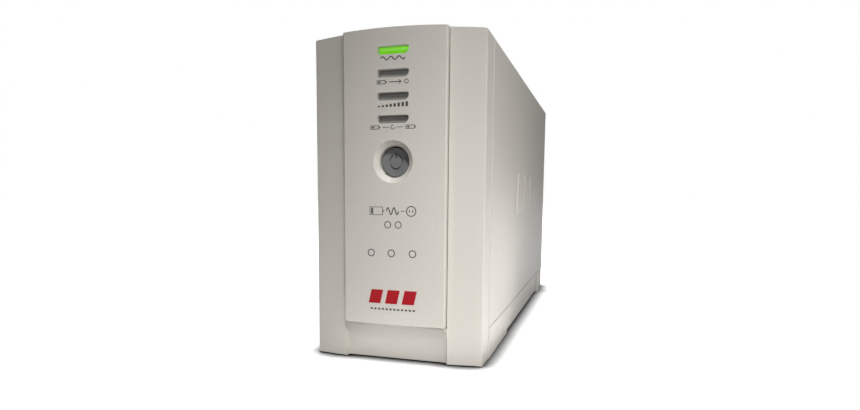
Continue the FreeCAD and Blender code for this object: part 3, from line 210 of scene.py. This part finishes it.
def metal(name, colour, rough=(0.22, 0.42), along=(1.0, 1.0, 0.08), bevel=0.0002, tarnish=0.85):
    """Bare or plated metal, brushed along one axis, duller in patches and brighter at its edges."""
    s = Surface(name, metallic=1.0)
    rounded = s.soft_edge(bevel)
    brushed = s.noise(2400.0, 4.0, 0.7, where=s.stretched(*along))
    patches = s.noise(160.0, 4.0, 0.6)
    base = s.mix(s.ramp(patches, (0.4, 0.0), (0.62, 1.0)), shade(colour, tarnish), colour)
    base = s.mix(s.edges(rounded), base, shade(colour, 1.25))
    return s.finish(base, s.span(brushed, *rough), s.relief(brushed, 0.00001, 0.5, rounded))


def laminated(name, colour, pitch, axis):
    """A stack of steel sheets: a line at every sheet's edge and blotches of varnish."""
    s = Surface(name, metallic=0.8)
    lines = s.ramp(s.waves(pitch, axis), (0.0, 0.0), (0.25, 1.0))
    varnish = s.noise(220.0, 4.0, 0.7)
    base = s.mix(lines, shade(colour, 0.35), colour)
    base = s.mix(s.ramp(varnish, (0.52, 0.0), (0.6, 1.0)), base, (0.16, 0.09, 0.04))
    return s.finish(base, s.span(varnish, 0.35, 0.6), s.relief(lines, 0.00008, 0.7))


def wound(name, colour, pitch):
    """Enamelled wire wound in level turns."""
    s = Surface(name, metallic=0.7)
    turns = s.waves(pitch, "Z", 0.15)
    drift = s.noise(60.0, 3.0)
    base = s.mix(s.ramp(turns, (0.05, 0.0), (0.5, 1.0)), shade(colour, 0.3), colour)
    base = s.mix(s.ramp(drift, (0.4, 0.0), (0.6, 0.5)), base, shade(colour, 1.35))
    return s.finish(base, s.span(drift, 0.25, 0.4), s.relief(turns, pitch * 0.4, 0.9))


def insulated(name, colour):
    """Soft wire insulation with a faint sheen and fine drawing marks."""
    s = Surface(name)
    marks = s.noise(1500.0, 3.0, 0.6, where=s.stretched(1.0, 1.0, 0.2))
    base = s.mix(s.ramp(s.noise(70.0), (0.35, 0.0), (0.65, 1.0)), shade(colour, 0.85), shade(colour, 1.1))
    return s.finish(base, s.span(marks, 0.38, 0.5), s.relief(marks, 0.00001, 0.4))


def circuit(name, colour):
    """Solder mask over copper tracks, with tinned pads."""
    s = Surface(name, Coat_Weight=0.4)
    brick = s.tree.nodes.new("ShaderNodeTexBrick")
    brick.inputs["Scale"].default_value = 90.0
    brick.inputs["Mortar Size"].default_value = 0.045
    s.put(s.coords, brick.inputs["Vector"])
    tracks = brick.outputs["Fac"]
    pads = s.ramp(s.cells(310.0), (0.16, 1.0), (0.20, 0.0))
    base = s.mix(tracks, colour, shade(colour, 1.9))
    base = s.mix(pads, base, (0.62, 0.61, 0.57))
    height = s.maths("MAXIMUM", tracks, pads)
    return s.finish(base, s.span(s.noise(400.0), 0.22, 0.38), s.relief(height, 0.00005, 0.6))


CASE = (0.625, 0.592, 0.537)
SLOTS = {       # each material slot's builder, colour and options
    "case_plastic": (moulded, CASE, {"grain": 0.00060, "depth": 0.00005}),
    "button_grey": (moulded, (0.150, 0.153, 0.153),
                    {"rough": (0.34, 0.44), "grain": 0.0004, "depth": 0.00001, "wear": 1.5}),
    "lens_green": (glossy, (0.20, 0.62, 0.03),
                   {"Emission_Color": (0.18, 0.62, 0.012, 1.0), "Emission_Strength": 0.47}),
    "lens_smoke": (glossy, (0.22, 0.22, 0.205), {"rough": (0.2, 0.32)}),
    "zinc_screw": (metal, (0.66, 0.65, 0.61), {}),
    "switch_black": (moulded, (0.03, 0.03, 0.03), {}),
    "plunger_white": (moulded, (0.72, 0.72, 0.69), {}),
    "circuit_board": (circuit, (0.025, 0.17, 0.06), {}),
    "led_green": (glossy, (0.12, 0.5, 0.08), {"Transmission_Weight": 0.3}),
    "ribbon_grey": (insulated, (0.42, 0.43, 0.44), {}),
    "battery_grey": (moulded, (0.09, 0.09, 0.10), {}),
    "lead": (metal, (0.36, 0.37, 0.40), {"rough": (0.45, 0.7), "tarnish": 0.6}),
    "tinned": (metal, (0.50, 0.49, 0.47), {"rough": (0.26, 0.42)}),
    "connector_brass": (metal, (0.80, 0.62, 0.30), {}),
    "wire_red": (insulated, (0.52, 0.03, 0.02), {}),
    "wire_black": (insulated, (0.02, 0.02, 0.02), {}),
    "wire_brown": (insulated, (0.17, 0.07, 0.03), {}),
    "wire_blue": (insulated, (0.03, 0.11, 0.42), {}),
    "wire_green": (insulated, (0.14, 0.38, 0.04), {}),
    "wire_yellow": (insulated, (0.62, 0.45, 0.04), {}),
    "core_steel": (laminated, (0.28, 0.27, 0.26), {"pitch": 0.0005, "axis": "Y"}),
    "bobbin_cream": (moulded, (0.66, 0.60, 0.46), {}),
    "copper": (wound, (0.72, 0.30, 0.12), {"pitch": 0.0011}),
    "frame_steel": (metal, (0.58, 0.58, 0.56), {"along": (0.1, 1.0, 1.0)}),
    "shelf_plastic": (moulded, (0.05, 0.05, 0.05), {}),
    "sink_aluminium": (metal, (0.72, 0.73, 0.74), {"along": (1.0, 0.05, 1.0)}),
    "component_black": (moulded, (0.03, 0.03, 0.03), {}),
    "relay_blue": (glossy, (0.04, 0.15, 0.42), {}),
    "capacitor_sleeve": (glossy, (0.04, 0.06, 0.13), {}),
    "fuse_glass": (glossy, (0.82, 0.86, 0.86), {"rough": (0.03, 0.06), "Transmission_Weight": 0.9}),
    "connector_white": (moulded, (0.72, 0.70, 0.64), {}),
    "rear_plastic": (moulded, (0.085, 0.084, 0.080), {"grain": 0.0006, "depth": 0.00005}),
    "socket_black": (moulded, (0.032, 0.032, 0.033), {"rough": (0.3, 0.42), "depth": 0.00002, "wear": 2.0}),
    "nickel": (metal, (0.42, 0.41, 0.385), {"rough": (0.18, 0.32)}),
    "reset_red": (glossy, (0.42, 0.03, 0.02), {}),
}
finishes = {slot: build(slot + "_finish", colour, **options)
            for slot, (build, colour, options) in SLOTS.items()}
for sub in frame["record"]["subparts"]:
    for holder in frame["nodes"][sub["node"]].material_slots:
        holder.material = finishes[sub["material_slot"]]

# ---- marks printed on the front panel -----------------------------------------------------------
low, high = (Vector(corner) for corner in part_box("front_panel"))
PANEL_HALF = (high.x - low.x) / 2
PANEL_BOW = 1.2 * MM        # how far the panel's middle stands out before its edges
PANEL_FACE = low.y
BOW_R = (PANEL_HALF ** 2 + PANEL_BOW ** 2) / (2 * PANEL_BOW)
INK = 0.05 * MM             # how far the ink reaches out from the face, and into it
STEP = 1.0 * MM             # the longest straight run of a bar across the bow

# Heights of the marks and widths of their strokes, in millimetres as in every mark.
WAVE_Z, IN_USE_Z, LOAD_Z, SWAP_Z = 150.5, 139.3, 127.5, 117.8
TITLE_Z, TITLE_RINGS_Z, RINGS_Z, RED_Z, DOTS_Z = 77.0, 70.2, 56.0, 30.4, 27.1
HAIR, THIN, FINE, BROAD = 0.32, 0.36, 0.4, 0.55


def face_y(x):
    """The panel's face at a distance x from its centre line."""
    return PANEL_FACE + BOW_R - math.sqrt(BOW_R * BOW_R - x * x)


def ink_material(name, colour):
    """Matt screen-printed ink, slightly uneven, following the plastic's grain."""
    s = Surface(name, Specular_IOR_Level=0.2)
    speckle = s.noise(2200.0, 2.0, 0.6)
    base = s.mix(s.ramp(speckle, (0.3, 0.0), (0.7, 1.0)), shade(colour, 0.88), shade(colour, 1.12))
    return s.finish(base, s.span(speckle, 0.35, 0.5), s.relief(speckle, 0.00002, 0.5))


INKS = {"grey": ink_material("ink_grey", (0.060, 0.058, 0.055)),
        "pale": ink_material("ink_pale", (0.115, 0.112, 0.108)),
        "red": ink_material("ink_red", (0.36, 0.007, 0.014))}


class Print:
    """Flat shapes, in millimetres across and up the panel, laid on its bowed face as thin ink."""

    def __init__(self, name, ink):
        self.name = name
        self.ink = ink
        self.verts = []
        self.faces = []

    def strip(self, left, right):
        """A band between two chains of (x, z) points of equal length."""
        first = len(self.verts)
        for (ax, az), (bx, bz) in zip(left, right):
            for x, z in ((ax * MM, az * MM), (bx * MM, bz * MM)):
                self.verts.append((x, face_y(x) - INK, z))
                self.verts.append((x, face_y(x) + INK, z))
        count = len(left)
        for i in range(count - 1):
            a = first + 4 * i
            b = a + 4
            self.faces += [(a, b, b + 2, a + 2), (a + 1, a + 3, b + 3, b + 1),
                           (a, a + 1, b + 1, b), (a + 2, b + 2, b + 3, a + 3)]
        last = first + 4 * (count - 1)
        self.faces += [(first, first + 2, first + 3, first + 1), (last, last + 1, last + 3, last + 2)]

    def bar(self, x0, x1, z0, z1, slant=0.0):
        """A rectangle, or with slant a parallelogram whose top is moved to the right."""
        steps = max(1, round((x1 - x0) * MM / STEP))
        low_edge = [(x0 + (x1 - x0) * i / steps, z0) for i in range(steps + 1)]
        self.strip(low_edge, [(x + slant, z1) for x, _ in low_edge])

    def line(self, points, width):
        """A stroke along a chain of points."""
        low_side, high_side = [], []
        for i, (x, z) in enumerate(points):
            ax, az = points[max(i - 1, 0)]
            bx, bz = points[min(i + 1, len(points) - 1)]
            length = math.hypot(bx - ax, bz - az)
            nx, nz = -(bz - az) / length * width / 2, (bx - ax) / length * width / 2
            low_side.append((x - nx, z - nz))
            high_side.append((x + nx, z + nz))
        self.strip(low_side, high_side)

    def ring(self, cx, cz, radius, width, start=0.0, sweep=360.0, steps=28):
        """A stroke along a circle, or part of one, in degrees from the right."""
        angles = [math.radians(start + sweep * i / steps) for i in range(steps + 1)]
        self.line([(cx + radius * math.cos(a), cz + radius * math.sin(a)) for a in angles], width)

    def frame(self, x0, x1, z0, z1, width):
        """A rectangle's outline."""
        self.bar(x0, x1, z0, z0 + width)
        self.bar(x0, x1, z1 - width, z1)
        self.bar(x0, x0 + width, z0 + width, z1 - width)
        self.bar(x1 - width, x1, z0 + width, z1 - width)

    def wave(self, x, z, length, reach, periods, steps, width):
        """A stroke along a sine wave that starts at x and swings by reach about z."""
        turn = 2 * math.pi * periods / steps
        points = [(x + length * i / steps, z + reach * math.sin(turn * i)) for i in range(steps + 1)]
        self.line(points, width)

    def battery(self, x, z, width=4.6, height=1.9):
        """A battery lying down: its outline, its terminal and one charge bar."""
        self.frame(x, x + width, z - height / 2, z + height / 2, HAIR)
        self.bar(x + width + 0.1, x + width + 0.55, z - 0.45, z + 0.45)
        self.bar(x + 0.75, x + 2.0, z - height / 2 + 0.6, z + height / 2 - 0.6)

    def done(self):
        """Makes the piece, which rides on the unit."""
        mesh = bpy.data.meshes.new(self.name)
        mesh.from_pydata(self.verts, [], self.faces)
        mesh.materials.append(INKS[self.ink])
        mesh.update()
        piece = bpy.data.objects.new(self.name, mesh)
        scene.collection.objects.link(piece)
        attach(piece, "unit")


mark = Print("mark_mains_wave", "grey")
mark.wave(-6.3, WAVE_Z, 12.6, 0.75, 3, 60, BROAD)
mark.done()

# A battery, an arrow and a ring: the load runs from the battery.
mark = Print("mark_battery_in_use", "grey")
mark.battery(-8.4, IN_USE_Z)
mark.bar(-2.0, 4.2, IN_USE_Z - FINE / 2, IN_USE_Z + FINE / 2)
mark.line([(3.0, IN_USE_Z + 0.9), (4.3, IN_USE_Z), (3.0, IN_USE_Z - 0.9)], FINE)
mark.ring(6.9, IN_USE_Z, 0.95, THIN)
mark.done()

# Bars that rise to the right: the load on the outlets.
mark = Print("mark_load_bars", "grey")
for i in range(8):
    left = -7.8 + 2.05 * i
    mark.bar(left, left + 1.2, LOAD_Z, LOAD_Z + 0.4 + 0.24 * (i + 1))
mark.done()

# Two batteries and an open ring between them: change the battery.
mark = Print("mark_battery_swap", "grey")
for left in (-11.8, 6.6):
    mark.battery(left, SWAP_Z)
mark.ring(0.0, SWAP_Z, 0.95, THIN, 60.0, 300.0)
for left in (-5.2, 2.0):
    mark.bar(left, left + 3.2, SWAP_Z - 0.15, SWAP_Z + 0.15)
mark.done()

# A battery, a wave, a dash and a socket, with two rings under them.
mark = Print("mark_title_rows", "pale")
mark.battery(-12.4, TITLE_Z, 7.2, 4.2)
mark.wave(-3.3, TITLE_Z, 6.4, 1.7, 2, 30, 0.6)
mark.ring(9.6, TITLE_Z, 2.4, BROAD)
for left in (8.5, 10.2):
    mark.bar(left, left + 0.5, TITLE_Z - 0.7, TITLE_Z + 0.7)
mark.bar(4.3, 6.2, TITLE_Z - 0.2, TITLE_Z + 0.2)
for x in (-2.6, 2.9):
    mark.ring(x, TITLE_RINGS_Z, 1.6, 0.5)
mark.done()

for i, x in enumerate((-11.5, -0.7, 10.4)):
    mark = Print(f"mark_ring_{i + 1}", "pale")
    mark.ring(x, RINGS_Z, 1.7, BROAD)
    mark.done()

mark = Print("mark_red_bars", "red")
for i in range(3):
    left = -13.0 + 8.9 * i
    mark.bar(left, left + 6.4, RED_Z, RED_Z + 7.0, slant=1.6)
mark.done()

mark = Print("mark_foot_line", "grey")
for i in range(12):
    left = -11.9 + 2.05 * i
    mark.bar(left, left + 1.2, DOTS_Z, DOTS_Z + 0.9)
mark.done()

# ---- floor --------------------------------------------------------------------------------------
FLOOR_HALF = 6.0
FLOOR_Z = -0.0002           # just under the feet, so that the two faces don't meet
PAINTED_SHADOW_REACH = 0.009       # how far out the shadow painted into the paper starts
PAINTED_SHADOW_FADE = ((0.46, 0.03), (0.60, 0.20), (0.80, 0.52), (0.98, 1.0))    # openness, brightness of the painted shadow
mesh = bpy.data.meshes.new("floor")
corners = [(x * FLOOR_HALF, y * FLOOR_HALF, FLOOR_Z) for x, y in ((-1, -1), (1, -1), (1, 1), (-1, 1))]
mesh.from_pydata(corners, [], [(0, 1, 2, 3)])
floor = bpy.data.objects.new("floor", mesh)
scene.collection.objects.link(floor)
paper = Surface("floor_paper", roughness=0.9)
# The paper's colour is darkened by ambient occlusion near the object: a painted shadow where it stands.
nearness = paper.tree.nodes.new("ShaderNodeAmbientOcclusion")
nearness.samples = 8
nearness.inputs["Distance"].default_value = PAINTED_SHADOW_REACH
painted_shadow = paper.ramp(nearness.outputs["AO"], *PAINTED_SHADOW_FADE)
white = paper.span(paper.noise(40.0, 3.0), 0.90, 0.92)
mesh.materials.append(paper.finish(paper.mix(1.0, white, painted_shadow, "MULTIPLY")))
floor.visible_diffuse = False

# ---- camera -------------------------------------------------------------------------------------
FRAME_W, FRAME_H = 860, 410
SENSOR_MM = 36.0
FOCAL_PX = 566.4
PITCH, YAW, ROLL = (math.radians(a) for a in (6.057, 16.751, 0.488))
CENTRE_ROW = 255.0          # the row of the frame that the lens axis meets
camera_data = bpy.data.cameras.new("camera")
camera = bpy.data.objects.new("camera", camera_data)
scene.collection.objects.link(camera)
scene.camera = camera
camera_data.sensor_fit = "HORIZONTAL"
camera_data.sensor_width = SENSOR_MM
camera_data.lens = FOCAL_PX / FRAME_W * SENSOR_MM
camera_data.shift_y = (CENTRE_ROW - FRAME_H / 2) / FRAME_W
camera_data.clip_start = 0.01
camera.location = (0.098738, -0.40532, 0.085132)
aimed = Euler((math.pi / 2 - PITCH, 0.0, YAW), "XYZ").to_matrix()
rolled = Euler((0.0, 0.0, ROLL), "XYZ").to_matrix()
camera.rotation_euler = (aimed @ rolled).to_euler()


# ---- light --------------------------------------------------------------------------------------
def linked(name, state, pieces):
    """A light-linking collection that takes in, or leaves out, some pieces."""
    group = bpy.data.collections.new(name)
    for piece in pieces:
        group.objects.link(piece)
    for entry in group.collection_objects:
        entry.light_linking.link_state = state
    return group


# The pieces sunk into the panel, the button and the dark lenses, have a lamp of their own.
BUTTON = [frame["nodes"]["power_button"]]
SMOKE = [frame["nodes"][name] for name in ("lens_on_battery", "lens_overload", "lens_replace_battery")]
FLOOR_ONLY = linked("floor_only", "INCLUDE", [floor])
BUTTON_ONLY = linked("button_only", "INCLUDE", BUTTON)
SMOKE_ONLY = linked("smoke_only", "INCLUDE", SMOKE)
NOT_FLOOR = linked("not_floor", "EXCLUDE", [floor])
NOT_WELLS = linked("not_wells", "EXCLUDE", [floor] + BUTTON + SMOKE)
HEART = (0.0, -0.10, 0.085)     # the front half's middle, which most lamps face
NARROW = 22.0                   # the spread, in degrees, of the two lamps that only rake the front
SUN_SPREAD, SUN_STRENGTH = 120.0, 6.0
SEEN_STRENGTH, LIT_STRENGTH = 1.0, 0.02     # the backdrop's, to the camera and to the object


def softbox(name, place, aim, size, power, spread=180.0, reach=NOT_FLOOR):
    """A soft white lamp out of the camera's sight, with its power in watts and spread in degrees."""
    data = bpy.data.lights.new(name, "AREA")
    data.shape = "RECTANGLE"
    data.size, data.size_y = size
    data.energy = power
    data.spread = math.radians(spread)
    lamp = bpy.data.objects.new(name, data)
    scene.collection.objects.link(lamp)
    lamp.location = place
    lamp.rotation_euler = (Vector(aim) - Vector(place)).to_track_quat("-Z", "Y").to_euler()
    lamp.visible_camera = False
    lamp.light_linking.receiver_collection = reach


def bounce(name, x, y, size, power, z=0.002):
    """Light thrown straight up by the paper beside the unit."""
    softbox(name, (x, y, z), (x, y, 1.0), size, power)


softbox("overhead", (0.0, 0.0, 1.0), HEART, (0.9, 0.9), 8.0)
softbox("high_right", (0.40, -0.50, 0.45), HEART, (0.3, 0.3), 0.994, reach=NOT_WELLS)
softbox("high_side", (0.55, 0.0, 0.40), HEART, (0.3, 0.3), 0.313)
softbox("high_front", (0.0, -0.80, 0.50), HEART, (0.3, 0.3), 0.094, reach=NOT_WELLS)
softbox("key", (0.20, -0.62, 0.70), (0.02, -0.14, 0.0), (0.12, 0.12), 0.071, NARROW, NOT_WELLS)
softbox("key_low", (0.05, -0.65, 0.45), (0.01, -0.14, 0.0), (0.12, 0.12), 0.013, NARROW, NOT_WELLS)
softbox("key_wide", (0.05, -0.50, 0.80), (0.0, -0.14, 0.085), (0.20, 0.20), 0.281, reach=NOT_WELLS)
softbox("key_button", (0.17, -0.42, 0.52), (0.0, -0.14, 0.10), (0.05, 0.05), 4.0, reach=BUTTON_ONLY)
softbox("key_lenses", (0.10, -0.58, 0.44), (0.0, -0.14, 0.13), (0.10, 0.10), 2.3, reach=SMOKE_ONLY)
softbox("near_right", (0.15, -0.42, 0.03), HEART, (0.10, 0.05), 0.236, reach=NOT_WELLS)
softbox("low_side", (0.60, -0.30, 0.35), (0.045, -0.10, 0.0), (0.12, 0.12), 0.013, 26.0)
bounce("bounce_side", 0.22, -0.12, (0.24, 0.24), 0.259)
bounce("bounce_right", 0.08, -0.10, (0.05, 0.12), 0.024)
bounce("bounce_corner", 0.06, -0.16, (0.06, 0.03), 0.003)
bounce("bounce_front", 0.0, -0.24, (0.10, 0.04), 0.003)
bounce("bounce_scoop", 0.0, -0.15, (0.05, 0.006), 0.0045, z=0.0015)
softbox("skirt_right", (0.10, -0.11, 0.012), (0.045, -0.11, 0.006), (0.10, 0.015), 0.005)
softbox("skirt_left", (-0.06, -0.19, 0.014), (-0.036, -0.138, 0.010), (0.03, 0.015), 0.002)
softbox("back_left", (-0.75, 0.55, 0.40), (0.0, 0.02, 0.08), (0.5, 0.5), 2.2)
softbox("back", (-0.25, 1.00, 0.35), (-0.1, 0.10, 0.08), (0.45, 0.4), 3.0)

# A wide, even glow from above keeps the paper floor white; its own soft shadow and the shadow painted into
# the paper darken it only where the object stands on it.
glow_data = bpy.data.lights.new("floor_glow", "SUN")
glow_data.energy = SUN_STRENGTH
glow_data.angle = math.radians(SUN_SPREAD)
glow = bpy.data.objects.new("floor_glow", glow_data)
scene.collection.objects.link(glow)
glow.light_linking.receiver_collection = FLOOR_ONLY

# The backdrop is white where the camera sees it and dim where the object is lit by it.
world = bpy.data.worlds.new("studio")
scene.world = world
world.use_nodes = True
tree = world.node_tree
seen = tree.nodes["Background"]
lit = tree.nodes.new("ShaderNodeBackground")
for backdrop, strength in ((seen, SEEN_STRENGTH), (lit, LIT_STRENGTH)):
    backdrop.inputs["Color"].default_value = (1.0, 1.0, 1.0, 1.0)
    backdrop.inputs["Strength"].default_value = strength
choice = tree.nodes.new("ShaderNodeMixShader")
tree.links.new(tree.nodes.new("ShaderNodeLightPath").outputs["Is Camera Ray"], choice.inputs["Fac"])
tree.links.new(lit.outputs["Background"], choice.inputs[1])
tree.links.new(seen.outputs["Background"], choice.inputs[2])
tree.links.new(choice.outputs["Shader"], tree.nodes["World Output"].inputs["Surface"])
scene.view_settings.view_transform = "Standard"
